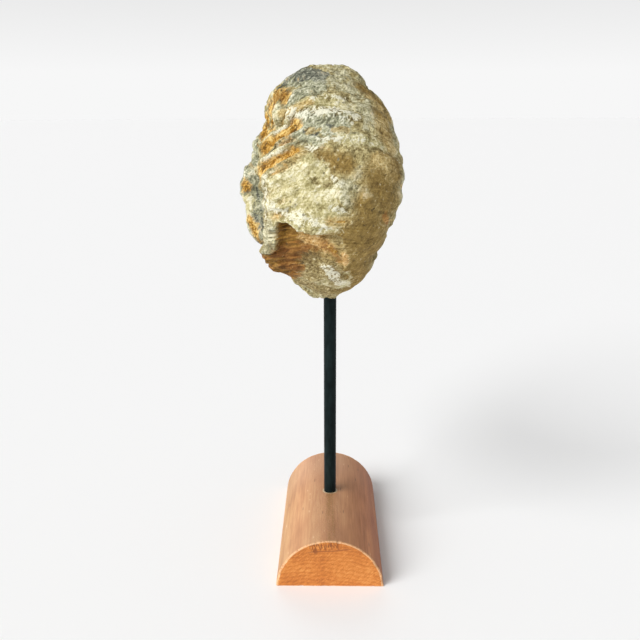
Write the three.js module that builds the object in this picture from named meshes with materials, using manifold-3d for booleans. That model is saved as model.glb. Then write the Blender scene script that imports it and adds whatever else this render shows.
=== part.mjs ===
// A fossil ammonite seen edge-on, carried on a thin upright rod in a half-round wooden base.
// Millimetres, +Z up. The origin is the centre of the base's flat underside, the base runs
// along Y, and the broad edge of the coil faces -Y.
import * as THREE from 'three';
import { ParametricGeometry } from 'three/addons/geometries/ParametricGeometry.js';
import { mergeVertices } from 'three/addons/utils/BufferGeometryUtils.js';
import Module from 'manifold-3d';

// Driving dimensions
const clearance = 0.3; // all round the rod in its two drilled holes
const base = { width: 60, height: 28.5, length: 108, arcSegments: 44 };
const rod = { diameter: 7.3, y: 2, foot: 8, top: 176, sides: 32 };

// The coil is a spiral that grows from its hidden end under the back, over the top and down the
// front. Angles run round the coil's axis: 0 is the front, 90 the top, 180 the back.
const coil = {
  centre: new THREE.Vector3(-2.5, 8, 214),
  turn: 13, // of the coil's plane about Z, its front edge going to +X
  reach: 73.5, // from the axis to the outer edge, at the mouth
  growth: 1.6, // of the reach in one turn
  widthGrowth: 1.5, // of the whorl's width in one turn
  mouthAngle: -106, // where the outer whorl is broken off, under the stone
  mouthRun: 10, // degrees in which the broken end rises to the full whorl
  shoulder: 0.52, // share of the reach at which a whorl is widest
  seam: 0.3, // share of the reach at which its inner wall meets the whorl before
  turns: 5,
  hubWidth: 9, // half thickness at the axis
  hubRadius: 7,
  ribsPerTurn: 23,
  ribHeight: 0.024, // share of the half width
  ribShift: 133, // degrees of the wave between a whorl and the next, so that they don't line up
  rows: 138,
  columns: 44,
};

// The stone is not an even spiral. Half widths to the left and right of its middle plane, as they
// would be at the mouth, and how far its edge stands out from the spiral.
const wear = [
  { angle: -90, left: 22.5, right: 18, reach: 0.865 },
  { angle: -45, left: 43, right: 25.5, reach: 0.885 },
  { angle: 0, left: 44.5, right: 36.5, reach: 0.96 },
  { angle: 45, left: 45, right: 38, reach: 0.99 },
  { angle: 90, left: 42, right: 35.5, reach: 1.11 },
  { angle: 135, left: 47, right: 43, reach: 1 },
  { angle: 180, left: 60, right: 44, reach: 1 },
  { angle: 225, left: 60, right: 38, reach: 1 },
];

// How far each side stands out beyond that, as pairs of a height and an amount. The left side has
// one table for its front and one for its rear.
const trim = {
  left: [
    [150, 1], [158, -7], [164, -3], [168, -0.5], [172, 6.5], [176, 5], [182, 3.5], [187, -1],
    [200, 0], [216, 1], [224, 4], [232, 0.5], [240, -1], [247, -7], [253, -2.5], [264, 0.5],
    [272, 2.5], [275, 6.5], [281, 5],
  ],
  rear: [
    [168, 0], [180, -1], [188, 1.5], [195, 0.5], [202, 0], [209, 3], [216, 1], [230, -1.5],
    [237, -0.5], [244, -4], [252, -3.5], [260, -0.5], [270, -0.5], [280, 6],
  ],
  right: [
    [150, 0], [156, -7], [160, -2.5], [165, 0], [182, -0.5], [189, 1.5], [196, 0], [212, 0],
    [228, 2], [236, 0.5], [244, 0], [252, 2], [259, 1], [265, -1.5], [273, -1.5], [279, 3], [282, 6],
  ],
};

// Single swellings of the surface
const swellings = [
  { centre: new THREE.Vector3(13, 3, 275), radius: 14, height: 2.2 },
  { centre: new THREE.Vector3(-12, -5, 275), radius: 11, height: 1.8 },
  { centre: new THREE.Vector3(-41, 20, 184), radius: 17, height: 4.5 },
];

// The piece broken out of the lower front, under a ledge. The tables give the ledge's height and
// the depth under it, from left to right.
const breakOut = {
  left: -28,
  right: 7.5,
  toe: 158,
  edge: 3,
  back: -14,
  ledge: [[-34, 202.5], [-22, 201.5], [-14.6, 197.6], [-4.8, 197.1], [6.5, 196]],
  depth: [[-31, 8], [-24, 13], [-15, 11], [-9, 7.5], [-4, 4.6], [0, 2.4], [8, 0.5]],
};

const wasm = await Module();
wasm.setup();

const radians = THREE.MathUtils.degToRad;
const smooth = (x) => THREE.MathUtils.smoothstep(x, 0, 1);

// The larger of two values, with the corner between them rounded over a width k
function roundedMax(a, b, k) {
  const share = THREE.MathUtils.clamp(0.5 + (0.5 * (a - b)) / k, 0, 1);
  return THREE.MathUtils.lerp(b, a, share) + k * share * (1 - share);
}

// A table of pairs read between its entries
function along(table, value) {
  const next = table.findIndex(([place]) => place > value);
  if (next === -1) return table.at(-1)[1];
  if (next === 0) return table[0][1];
  const [before, after] = [table[next - 1], table[next]];
  return THREE.MathUtils.mapLinear(value, before[0], after[0], before[1], after[1]);
}

// One column of the wear table at any angle, eased from entry to entry round the coil
function wearAt(angle, name) {
  const step = 360 / wear.length;
  const place = THREE.MathUtils.euclideanModulo(angle - wear[0].angle, 360) / step;
  const index = Math.floor(place) % wear.length;
  const ease = 0.5 - 0.5 * Math.cos(Math.PI * (place % 1));
  return THREE.MathUtils.lerp(wear[index][name], wear[(index + 1) % wear.length][name], ease);
}

// Reach and half width of the whorl that lies `older` degrees back along the spiral
function whorlSize(older, halfWidth) {
  return {
    reach: coil.reach * coil.growth ** (-older / 360),
    width: halfWidth * coil.widthGrowth ** (-older / 360),
  };
}

// The outermost whorl starts as the one under it and rises to full size behind the broken mouth
function outerSize(older, halfWidth) {
  const inner = whorlSize(older + 360, halfWidth);
  const full = whorlSize(older, halfWidth);
  const rise = smooth(older / coil.mouthRun);
  return {
    reach: THREE.MathUtils.lerp(inner.reach, full.reach, rise),
    width: THREE.MathUtils.lerp(inner.width, full.width, rise),
  };
}

// Half thickness of a whorl over its half width: a quarter ellipse from the seam up to the
// shoulder, and another out to its edge
function whorlSection(share) {
  if (share > 1) return -1;
  const fall = Math.max(0, (coil.shoulder - share) / (coil.shoulder - coil.seam));
  const out = Math.max(0, (share - coil.shoulder) / (1 - coil.shoulder));
  return Math.sqrt(Math.max(0, 1 - fall * fall) * Math.max(0, 1 - out * out));
}

// Half thickness of the whole stone at a distance from the axis: the highest of its whorls
function halfThickness(distance, angle, older, side) {
  const halfWidth = wearAt(angle, side);
  const stretch = wearAt(angle, 'reach');
  let height = -Infinity;
  for (let turn = 0; turn < coil.turns; turn++) {
    const size = turn === 0 ? outerSize(older, halfWidth) : whorlSize(older + 360 * turn, halfWidth);
    const ribs = 1 + coil.ribHeight * Math.cos(radians(coil.ribsPerTurn * older + coil.ribShift * turn));
    const section = size.width * ribs * whorlSection(distance / (size.reach * stretch));
    height = turn === 0 ? section : roundedMax(height, section, 1.2);
  }
  return THREE.MathUtils.lerp(coil.hubWidth, height, smooth(distance / coil.hubRadius));
}

// How far a point of the given side is moved along X; share is its share of the outer reach
function trimAt(point, side, share) {
  const facing = smooth((share < coil.shoulder ? 1 : Math.max(0, whorlSection(share))) / 0.7);
  if (side === 'right') return facing * along(trim.right, point.z);
  const toRear = smooth((point.y + 12) / 14);
  return -facing * THREE.MathUtils.lerp(along(trim.left, point.z), along(trim.rear, point.z), toRear);
}

// How far the swellings lift a point
function swellingAt(point) {
  return swellings.reduce((total, { centre, radius, height }) => (
    total + height * (1 - smooth(point.distanceTo(centre) / radius))
  ), 0);
}

// How far the break has sunk a point of the front, towards the coil's axis
function breakDepth(point) {
  const across = smooth((point.x - breakOut.left) / breakOut.edge)
    * smooth((breakOut.right - point.x) / breakOut.edge);
  const ledge = along(breakOut.ledge, point.x);
  const inside = smooth((ledge - point.z) / breakOut.edge)
    * smooth((breakOut.back - point.y) / breakOut.edge);
  const slope = THREE.MathUtils.clamp((point.z - breakOut.toe) / (ledge - breakOut.toe), 0, 1);
  return along(breakOut.depth, point.x) * across * inside * slope;
}

// A point of the stone: u runs once round the coil, v from the right of its axis over the outer
// edge to the left of its axis
function stonePoint(u, v, target) {
  const older = 360 * (u % 1);
  const angle = coil.mouthAngle + older;
  const fromAxis = Math.sin(Math.PI * Math.min(v, 1 - v)) ** 0.9;
  const outward = v === 0 || v === 1 ? 0 : fromAxis;
  const side = v < 0.5 ? 'right' : 'left';
  const distance = outerSize(older, 1).reach * wearAt(angle, 'reach') * outward;
  const height = halfThickness(distance, angle, older, side) * (v < 0.5 ? 1 : -1);
  const across = v === 0.5 ? 0 : height;
  const zAxis = new THREE.Vector3(0, 0, 1);
  const direction = new THREE.Vector3(0, -Math.cos(radians(angle)), Math.sin(radians(angle)));
  direction.applyAxisAngle(zAxis, radians(coil.turn));
  target.set(across, 0, 0).applyAxisAngle(zAxis, radians(coil.turn)).add(coil.centre);
  target.addScaledVector(direction, distance);
  target.x += trimAt(target, side, outward);
  const away = target.clone().sub(coil.centre).normalize();
  target.addScaledVector(away, swellingAt(target));
  target.addScaledVector(direction, -breakDepth(target));
}

// A closed geometry as a manifold solid: shared corners merged, slivers at the poles left out
function toSolid(geometry) {
  geometry.deleteAttribute('normal');
  geometry.deleteAttribute('uv');
  const merged = mergeVertices(geometry, 1e-4);
  const corners = merged.index.array;
  const triangles = [];
  for (let i = 0; i < corners.length; i += 3) {
    const [a, b, c] = corners.slice(i, i + 3);
    if (a !== b && b !== c && c !== a) triangles.push(a, b, c);
  }
  return new wasm.Manifold(new wasm.Mesh({
    numProp: 3,
    vertProperties: new Float32Array(merged.attributes.position.array),
    triVerts: new Uint32Array(triangles),
  }));
}

function toGeometry(solid) {
  const mesh = solid.getMesh();
  const geometry = new THREE.BufferGeometry();
  geometry.setAttribute('position', new THREE.BufferAttribute(mesh.vertProperties, 3));
  geometry.setIndex(new THREE.BufferAttribute(mesh.triVerts, 1));
  geometry.computeVertexNormals();
  return geometry;
}

// An upright cylinder on the rod's line, between two heights
function uprightCylinder(radius, bottom, top) {
  const geometry = new THREE.CylinderGeometry(radius, radius, top - bottom, rod.sides);
  geometry.rotateX(Math.PI / 2);
  geometry.translate(0, rod.y, (top + bottom) / 2);
  return geometry;
}

// The stone with the rod's blind hole drilled up from below it
function ammoniteGeometry() {
  const stone = toSolid(new ParametricGeometry(stonePoint, coil.rows, coil.columns));
  const radius = rod.diameter / 2 + clearance;
  const hole = toSolid(uprightCylinder(radius, base.height, rod.top + clearance));
  return toGeometry(stone.subtract(hole));
}

// A flat-bottomed block whose top is an arc from edge to edge, with the rod's blind hole
function baseGeometry() {
  const halfWidth = base.width / 2;
  const radius = (halfWidth ** 2 + base.height ** 2) / (2 * base.height);
  const centreHeight = base.height - radius;
  const start = Math.atan2(-centreHeight, halfWidth);
  const outline = new THREE.Shape();
  outline.absarc(0, centreHeight, radius, start, Math.PI - start, false);
  outline.closePath();
  const block = new THREE.ExtrudeGeometry(outline, {
    depth: base.length, bevelEnabled: false, curveSegments: base.arcSegments,
  });
  block.rotateX(Math.PI / 2);
  block.translate(0, base.length / 2, 0);
  const holeRadius = rod.diameter / 2 + clearance;
  const hole = toSolid(uprightCylinder(holeRadius, rod.foot - clearance, base.height + 10));
  return toGeometry(toSolid(block).subtract(hole));
}

const stoneMaterial = new THREE.MeshStandardMaterial({ color: 0xa89870, roughness: 0.9, metalness: 0 });
const steelMaterial = new THREE.MeshStandardMaterial({ color: 0x171c1b, roughness: 0.45, metalness: 0.6 });
const woodMaterial = new THREE.MeshStandardMaterial({ color: 0xb98058, roughness: 0.65, metalness: 0 });

function namedMesh(name, geometry, material) {
  const mesh = new THREE.Mesh(geometry, material);
  mesh.name = name;
  return mesh;
}

const stand = new THREE.Group();
stand.add(namedMesh('ammonite', ammoniteGeometry(), stoneMaterial));
stand.add(namedMesh('rod', uprightCylinder(rod.diameter / 2, rod.foot, rod.top), steelMaterial));
stand.add(namedMesh('base', baseGeometry(), woodMaterial));

export default stand;
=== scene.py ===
import bpy
import numpy as np
from mathutils import Matrix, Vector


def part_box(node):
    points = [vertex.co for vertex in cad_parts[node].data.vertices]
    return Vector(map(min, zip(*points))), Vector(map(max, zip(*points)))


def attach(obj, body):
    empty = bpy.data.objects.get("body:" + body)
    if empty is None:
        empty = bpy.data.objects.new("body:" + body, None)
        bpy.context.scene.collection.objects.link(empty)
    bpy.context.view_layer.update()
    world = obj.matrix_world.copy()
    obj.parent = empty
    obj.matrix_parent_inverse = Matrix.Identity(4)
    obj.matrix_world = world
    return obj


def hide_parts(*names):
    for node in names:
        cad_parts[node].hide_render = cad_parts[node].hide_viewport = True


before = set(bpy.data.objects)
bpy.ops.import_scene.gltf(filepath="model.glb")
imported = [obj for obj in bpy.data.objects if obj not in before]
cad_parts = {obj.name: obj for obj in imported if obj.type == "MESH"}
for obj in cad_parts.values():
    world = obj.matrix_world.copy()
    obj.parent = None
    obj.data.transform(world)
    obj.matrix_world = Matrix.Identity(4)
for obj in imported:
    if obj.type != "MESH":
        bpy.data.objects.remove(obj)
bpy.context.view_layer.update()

mm = 0.001  # every size below is in millimetres, and every angle in degrees
print("frame loaded:", sorted(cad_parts))


def smooth(x):
    # an S-shaped step: 0 up to 0, 1 from 1 on, and level at both ends
    x = np.clip(x, 0, 1)
    return x * x * (3 - 2 * x)


def blend(a, b, share):
    # a where share is 0, b where it is 1
    return a + (b - a) * share


def roundedMax(a, b, width):
    # the larger of two values, with the corner between them rounded over a width
    share = np.clip(0.5 + 0.5 * (a - b) / width, 0, 1)
    return blend(b, a, share) + width * share * (1 - share)


def noise(points, size, seed):
    # smooth noise from about -1 to 1: each corner of a cubic lattice has a random slope, and a
    # point adds up what the slopes of the eight corners round it give, each faded by its distance
    random = np.random.default_rng(seed)
    order = random.permutation(256)
    slopes = random.normal(size=(256, 3))
    slopes /= np.linalg.norm(slopes, axis=1, keepdims=True)
    cell = points / size
    corner = np.floor(cell).astype(int)
    part = cell - corner
    fade = part**3 * (part * (part * 6 - 15) + 10)
    total = np.zeros(points.shape[:-1])
    for step in np.ndindex(2, 2, 2):
        at = corner + step
        pick = order[(order[(order[at[..., 0] & 255] + at[..., 1]) & 255] + at[..., 2]) & 255]
        weight = np.where(step, fade, 1 - fade).prod(-1)
        total += weight * ((part - step) * slopes[pick]).sum(-1)
    return total * 1.7


def layeredNoise(points, size, layers, seed, gain=0.5):
    # noise at a size, plus the same at half the size and gain times the height, and so on
    return sum(gain**i * noise(points, size / 2**i, seed + i) for i in range(layers))


def gridMap(rows, columns):
    # a flat map for the surface that skin makes, with one step to each row and column: a square
    # for each quad, and a triangle for each face of the fans at the poles
    across, up = np.meshgrid(np.arange(rows), np.arange(1, columns - 1), indexing="ij")
    spots = np.stack([across, up], -1)
    low, high, right = spots[:, :-1], spots[:, 1:], [1, 0]
    quads = np.stack([low, high, high + right, low + right], 2)
    row = np.arange(rows)[:, None, None] * right
    lowFan = row + [(0.5, 0), (0, 1), (1, 1)]
    highFan = row + [(0.5, columns - 1), (1, columns - 2), (0, columns - 2)]
    return np.concatenate([part.reshape(-1, 2) for part in (quads, lowFan, highFan)]) / [rows, columns - 1]


def skin(name, points, fields=None, mapped=False):
    # a closed surface from points[around, along]: each four neighbours make a quad, the rows close
    # into a ring, and the first and last columns are each drawn to one pole, with a fan of triangles
    # round it; fields are one value for each point
    rows, columns = points.shape[:2]
    inner = points[:, 1:-1].reshape(-1, 3)
    poles = np.stack([points[:, 0].mean(0), points[:, -1].mean(0)])
    places = np.concatenate([inner, poles])
    index = np.arange(len(inner)).reshape(rows, columns - 2)
    after = np.roll(index, -1, axis=0)
    low, high = np.full(rows, len(inner)), np.full(rows, len(inner) + 1)
    quads = np.stack([index[:, :-1], index[:, 1:], after[:, 1:], after[:, :-1]], -1).reshape(-1, 4)
    fans = np.concatenate([
        np.stack([low, index[:, 0], after[:, 0]], -1),
        np.stack([high, after[:, -1], index[:, -1]], -1),
    ])
    corners = np.concatenate([quads.ravel(), fans.ravel()])
    starts = np.concatenate([np.arange(len(quads)) * 4, len(quads) * 4 + np.arange(len(fans)) * 3])
    mesh = bpy.data.meshes.new(name)
    mesh.vertices.add(len(places))
    mesh.vertices.foreach_set("co", (places * mm).ravel())
    mesh.loops.add(len(corners))
    mesh.loops.foreach_set("vertex_index", corners)
    mesh.polygons.add(len(starts))
    mesh.polygons.foreach_set("loop_start", starts)
    mesh.update(calc_edges=True)
    mesh.shade_smooth()
    for field, values in (fields or {}).items():
        flat = np.concatenate([values[:, 1:-1].ravel(), [values[:, 0].mean(), values[:, -1].mean()]])
        attribute = mesh.attributes.new(field, "FLOAT", "POINT")
        attribute.data.foreach_set("value", flat.astype(np.float32))
    if mapped:
        spots = gridMap(rows, columns).astype(np.float32)
        mesh.uv_layers.new(name="OFBake").data.foreach_set("uv", spots.ravel())
    piece = bpy.data.objects.new(name, mesh)
    bpy.context.scene.collection.objects.link(piece)
    return piece


def cut(piece, cutter, solver):
    # the piece less the cutter, found by a boolean, after which the cutter is gone
    change = piece.modifiers.new("cut", "BOOLEAN")
    change.object = cutter
    change.operation = "DIFFERENCE"
    change.solver = solver
    bpy.context.view_layer.update()
    done = bpy.data.meshes.new_from_object(piece.evaluated_get(bpy.context.evaluated_depsgraph_get()))
    before = piece.data
    piece.modifiers.clear()
    piece.data = done
    done.name = before.name
    bpy.data.meshes.remove(before)
    bpy.data.objects.remove(cutter)


def turned(name, profile, centre, sides):
    # a profile of (radius, height) pairs turned round an upright axis: each pair becomes a circle,
    # and both ends are closed on the axis
    radii, heights = np.array([(0, profile[0][1]), *profile, (0, profile[-1][1])], float).T
    angle = np.linspace(0, 2 * np.pi, sides, endpoint=False)[:, None]
    x, y = centre[0] + radii * np.cos(angle), centre[1] + radii * np.sin(angle)
    return skin(name, np.stack([x, y, heights + 0 * angle], -1))


def outward(points):
    # unit normals of such a surface, from the steps to the next row and the next column
    around = np.roll(points, -1, axis=0) - np.roll(points, 1, axis=0)
    along = np.gradient(points, axis=1)
    normal = np.cross(along, around)
    return normal / np.maximum(np.linalg.norm(normal, axis=-1, keepdims=True), 1e-9)


class Value:
    # a socket that takes part in sums: each operator adds one Math node to the socket's own tree
    def __init__(self, nodes, socket):
        self.nodes = nodes
        self.socket = socket

    def math(self, operation, *others):
        # one Math node with this value first
        return self.nodes.math(operation, self, *others)

    def __add__(self, other):
        return self.math("ADD", other)

    def __mul__(self, other):
        return self.math("MULTIPLY", other)

    def __sub__(self, other):
        return self.math("SUBTRACT", other)

    def __rsub__(self, other):
        return self.nodes.math("SUBTRACT", other, self)

    def __truediv__(self, other):
        return self.math("DIVIDE", other)

    __radd__ = __add__
    __rmul__ = __mul__

    def ramp(self, low, high, start=0.0, end=1.0):
        # start up to low, end from high on, and an S-shaped step between
        inputs = {"Value": self, "From Min": low, "From Max": high, "To Min": start, "To Max": end}
        return self.nodes.node("ShaderNodeMapRange", {"interpolation_type": "SMOOTHSTEP"}, inputs)


def linearLight(value):
    # one channel of a colour as a screen shows it, from 0 to 255, as the light that shaders work in
    share = value / 255
    return ((share + 0.055) / 1.055) ** 2.4 if value > 10 else share / 12.92


def colour(red, green, blue):
    # a colour as a screen shows it, as a shader's colour
    return (linearLight(red), linearLight(green), linearLight(blue), 1.0)


def grey(light):
    # a colour of three equal shares of light
    return (light, light, light, 1.0)


class Nodes:
    # the nodes of one material or of the world
    def __init__(self, tree):
        self.tree = tree

    def node(self, kind, settings=None, inputs=None, output=0):
        # a new node: first its settings, then a value or a link for each socket by name or number;
        # what comes back is the value of one of its outputs
        made = self.tree.nodes.new(kind)
        for name, setting in (settings or {}).items():
            if name == "stops":
                while len(made.color_ramp.elements) < len(setting):
                    made.color_ramp.elements.new(1.0)
                for element, (position, tint) in zip(made.color_ramp.elements, setting):
                    element.position = position
                    element.color = tint
            else:
                setattr(made, name, setting)
        for name, value in (inputs or {}).items():
            self.feed(made.inputs[name], value)
        return Value(self, made.outputs[output])

    def feed(self, socket, value):
        # a link into the socket, or a fixed value on it
        if isinstance(value, Value):
            self.tree.links.new(value.socket, socket)
        else:
            socket.default_value = value

    def math(self, operation, *parts):
        # one Math node on values or numbers
        return self.node("ShaderNodeMath", {"operation": operation}, dict(enumerate(parts)))

    def stops(self, value, *stops):
        # a colour read off between (position, colour) stops
        return self.node("ShaderNodeValToRGB", {"stops": stops}, {"Fac": value}, "Color")

    def axes(self, place, names):
        # the named coordinates of a place
        return [self.node("ShaderNodeSeparateXYZ", None, {"Vector": place}, name) for name in names]


class Finish(Nodes):
    # one material, with the few kinds of node that this object's finishes need
    def __init__(self, name):
        self.material = bpy.data.materials.new(name)
        self.material.use_nodes = True
        super().__init__(self.material.node_tree)
        self.shader = self.tree.nodes["Principled BSDF"]
        self.place = self.node("ShaderNodeTexCoord", output="Object")

    def set(self, name, value):
        # a value or a link for one input of the material
        self.feed(self.shader.inputs[name], value)

    def placed(self, stretch, turn=(0, 0, 0)):
        # the place on the piece in a frame that is turned and then drawn out
        inputs = {"Vector": self.place, "Scale": stretch, "Rotation": tuple(np.radians(turn))}
        return self.node("ShaderNodeMapping", {"vector_type": "TEXTURE"}, inputs)

    def noise(self, size, detail=3.0, rough=0.55, stretch=(1, 1, 1), warp=0.0, turn=(0, 0, 0), place=None):
        # noise from 0 to 1 with features of a size in millimetres, drawn out by stretch
        inputs = {"Vector": place or self.placed(stretch, turn), "Scale": 1 / (size * mm), "Detail": detail}
        inputs |= {"Roughness": rough, "Distortion": warp}
        return self.node("ShaderNodeTexNoise", None, inputs)

    def cells(self, size, stretch=(1, 1, 1)):
        # how far the nearest of the points strewn about is, as a share of their mean distance
        inputs = {"Vector": self.placed(stretch), "Scale": 1 / (size * mm)}
        return self.node("ShaderNodeTexVoronoi", None, inputs, "Distance")

    def field(self, name):
        # a value that the mesh holds for each of its points
        return self.node("ShaderNodeAttribute", {"attribute_name": name}, output="Fac")

    def mix(self, first, second, share, way="MIX"):
        # second over first where share is 1
        inputs = {0: share, 6: first, 7: second}  # the factor and the two colours
        return self.node("ShaderNodeMix", {"data_type": "RGBA", "blend_type": way}, inputs, 2)

    def bump(self, height, distance):
        # the surface's normal tilted by a height, which is distance in millimetres at 1
        return self.node("ShaderNodeBump", None, {"Height": height, "Distance": distance * mm}, "Normal")


# The camera stands a little below the top of the stone and looks down at it
view = {
    "at": (0.9, -398.5, 253.8),
    "down": 16.08,
    "toLeft": 0.957,
    "tilt": -0.23,
    "lens": 40.5,
    "filmWidth": 36.0,
    "nearest": 10.0,  # what is closer isn't shown
}


def addCamera():
    # from looking straight down: turned to the left, then up to its angle, then rolled
    data = bpy.data.cameras.new("camera")
    data.lens = view["lens"]
    data.sensor_width = view["filmWidth"]
    data.clip_start = view["nearest"] * mm
    camera = bpy.data.objects.new("camera", data)
    turns = ((view["toLeft"], "Z"), (90 - view["down"], "X"), (view["tilt"], "Z"))
    matrix = Matrix.Identity(4)
    for angle, axis in turns:
        matrix = matrix @ Matrix.Rotation(np.radians(angle), 4, axis)
    matrix.translation = [c * mm for c in view["at"]]
    camera.matrix_world = matrix
    bpy.context.scene.collection.objects.link(camera)
    bpy.context.scene.camera = camera


addCamera()
print("camera set")

# The stone's coil. It is a spiral that grows under the back, over the top and down the front.
# Angles run round its axis: 0 is the front, 90 the top, 180 the back.
coil = {
    "centre": (-2.5, 8.0, 214.0),
    "turn": 13.0,  # of the coil's plane, its front edge to the right
    "reach": 73.5,  # from the axis to the outer edge, at the mouth
    "growth": 1.6,  # of the reach in one turn
    "widthGrowth": 1.5,  # of the whorl's width in one turn
    "mouthAngle": -106.0,  # where the outer whorl is broken off
    "mouthRun": 10.0,  # degrees in which the broken end rises to the full whorl
    "shoulder": 0.52,  # share of the reach at which a whorl is widest
    "seam": 0.3,  # share at which it rises from the whorl inside it
    "seamRound": 1.2,  # how far the seam between two whorls is rounded
    "seamShade": 4.0,  # how far apart two whorls may be for a point to count as near their seam, where shade is painted
    "seamTo": 0.7,  # share of the reach beyond which no seam shows
    "halfWidth": 0.62,  # of a typical whorl, as a share of its reach
    "turns": 5,
    "hubWidth": 9.0,
    "hubRadius": 7.0,
    "rows": 462,
    "columns": 207,
    # where the rows lie closer together: degrees back from the mouth, how far round that, and how
    # much closer; the front, the ledge and the broken end
    "crowding": ((110, 75, 0.25), (92, 8, 1.3), (4, 5, 1.2)),
}
# How the coil is worn, at angles 45 degrees apart from the lowest point on: half widths to the
# left and right of the middle plane as they would be at the mouth, how far the edge stands out
# from an even spiral, and how much is left of the ribs on either side
wear = {
    "firstAngle": -90.0,
    "left": (22.5, 43.0, 44.5, 45.0, 42.0, 47.0, 60.0, 60.0),
    "right": (18.0, 25.5, 36.5, 38.0, 35.5, 43.0, 44.0, 38.0),
    "reach": (0.865, 0.885, 0.96, 0.99, 1.11, 1.0, 1.0, 1.0),
    "leftRibs": (0.5, 0.2, 0.3, 1.0, 0.9, 0.9, 0.4, 0.4),
    "rightRibs": (0.4, 0.25, 0.2, 0.3, 0.5, 0.9, 1.0, 0.8),
    "outerRibs": (0.2, 0.1, 0.1, 0.15, 0.3, 0.45, 0.5, 0.45),
}
ribs = {
    "perTurn": 23,
    "phase": 0.33,
    "turnShift": 0.37,  # so that the ribs of neighbouring whorls don't line up
    "height": 2.1,
    "sharpness": 1.4,  # above 1 the furrows are wider than the crests
    "lean": -1.7,  # of the rib spacing over a whole reach
    "leanFrom": 0.6,  # share of the reach
    "leanAbout": 0.8,  # share of the reach at which it leaves them in place
    "parting": 0.62,
    "partingRun": 0.2,
    "rise": 0.15,  # share of the reach in which they rise from the seam
    "outerFrom": 0.75,  # share of the reach where the outer edge's wear begins
    "outerRun": 0.2,
    "innerFrom": 6.0,  # from the axis, where they begin
    "innerRun": 8.0,
    "waver": 0.16,  # of the rib spacing
    "waverSize": 26.0,
    "unevenness": 0.8,  # how much of their height comes and goes
    "unevenSize": 15.0,
}
# How far each side stands out beyond that, by height: the left front, the left rear and the right.
# The rear table takes over from the left one behind rearFrom, and a surface that faces sideways
# by the share facing is moved in full
trim = {
    "rearFrom": -12.0,
    "rearRun": 14.0,
    "facing": 0.7,
    "left": (
        (150, 1.5), (158, -10), (164, 1.5), (168, 0), (172, 6), (175, 4.5), (182, 3.5), (187, -1),
        (193, -1), (208, 0), (216, 1), (224, 3.5), (240, -1), (247, -7), (253, -3.5), (259, -2),
        (264, 0.5), (268, -0.5), (272, 5.5), (276, 6.5), (281, 5),
    ),
    "rear": (
        (150, 0), (175, 1), (180, -10), (184, -1.5), (188, 1), (195, 0.5), (202, 0), (209, 3),
        (216, 1), (230, -1.5), (237, -0.5), (244, -4.5), (252, -3.5), (260, -1), (270, 0.5), (280, 6.5),
    ),
    "right": (
        (150, 0), (156, -5), (160, -2.5), (165, 0), (176, 0.5), (182, -0.5), (189, 1), (204, -0.5),
        (220, 1), (228, 2), (244, 0), (252, 1.5), (259, 1.5), (265, -2), (269, -0.5), (273, -1.5),
        (276, 1), (282, 6),
    ),
}
# where the ribs are all but worn away: most of all within 0.4 of the radius, and not beyond 1.4
bald = {"centre": (-50, 22, 200), "radius": 30, "ribs": 0.2}
# single swellings and hollows: centre, radius and how far the surface moves out
knocks = (
    ((13, 3, 275), 14, 2.2),
    ((-12, -5, 275), 11, 1.8),
    ((3, 1, 278), 9, 0.7),
    ((0.5, 0, 278), 5, 1.0),
    ((-41, 20, 184), 17, 4.5),
    ((-37, 15, 180), 12, 4.0),
    ((-11, 6, 152), 9, 2.2),
    ((3, -50, 232.6), 1.8, -1.1),
)
# the piece broken out of the lower front, under a ledge
breakOut = {
    "ledge": ((-34, 202.5), (-22, 201.5), (-14.6, 197.6), (-4.8, 197.1), (6.5, 196.0)),  # x, height
    "left": ((-45, 182), (-33, 182.8), (-31, 184.5), (-29.5, 190), (-29, 203)),  # x, height
    "right": 7.5,
    "depth": (  # x, depth at the ledge
        (-40, 1.5), (-31, 4.2), (-24, 8.8), (-15, 8.5), (-9, 6), (-4, 3.8), (0, 2), (8, 0.5),
    ),
    "fall": 0.8,  # below 1 it stays deep until close to the toe
    "toe": 158.0,
    "layerToe": 164.0,  # how far down its layers show
    "layerFade": 4.0,
    "tintToe": 163.0,  # and its colour
    "tintFade": 9.0,
    "back": -14.0,  # how far back it goes
    "tintBack": -11.0,  # and its colour
    "stripes": ((183, -7), (191, 6)),  # height, x: how far to the right they go low down and above
    "stripesFade": 17.0,
    "edge": 1.5,
    "leftEdge": 5.5,
    "ragged": ((1.1, 6.0), (0.5, 2.5)),  # notches in its rim: how deep and how long
    "tintDrift": (5.0, 9.0),  # how far its colour strays, and the size of that
}


def wearAt(angle, name):
    # one list of the wear table at any angle, eased from entry to entry round the coil
    values = np.array(wear[name])
    place = (angle - wear["firstAngle"]) % 360 / (360 / len(values))
    index = np.floor(place).astype(int) % len(values)
    ease = 0.5 - 0.5 * np.cos(np.pi * (place % 1))
    return blend(values[index], values[(index + 1) % len(values)], ease)


def whorlSection(share):
    # half thickness of a whorl over its half width: one quarter ellipse from the seam up to the
    # shoulder, and another out to its edge
    fall = np.clip((coil["shoulder"] - share) / (coil["shoulder"] - coil["seam"]), 0, 1)
    out = np.clip((share - coil["shoulder"]) / (1 - coil["shoulder"]), 0, 1)
    return np.where(share > 1, -1, np.sqrt(1 - fall**2) * np.sqrt(1 - out**2))


def evenShares(count):
    # shares of the reach from the axis to the edge, evenly spaced along a typical section
    share = np.linspace(0, 1, 4000)
    whorls = [share * coil["growth"] ** turn for turn in range(coil["turns"])]
    heights = [
        whorlSection(np.minimum(own, 1)) * (own <= 1) / coil["widthGrowth"] ** turn
        for turn, own in enumerate(whorls)
    ]
    height = coil["halfWidth"] * np.max(heights, axis=0)
    length = np.concatenate([[0], np.cumsum(np.hypot(np.diff(share), np.diff(height)))])
    return np.interp(np.linspace(0, length[-1], count), length, share)


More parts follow.
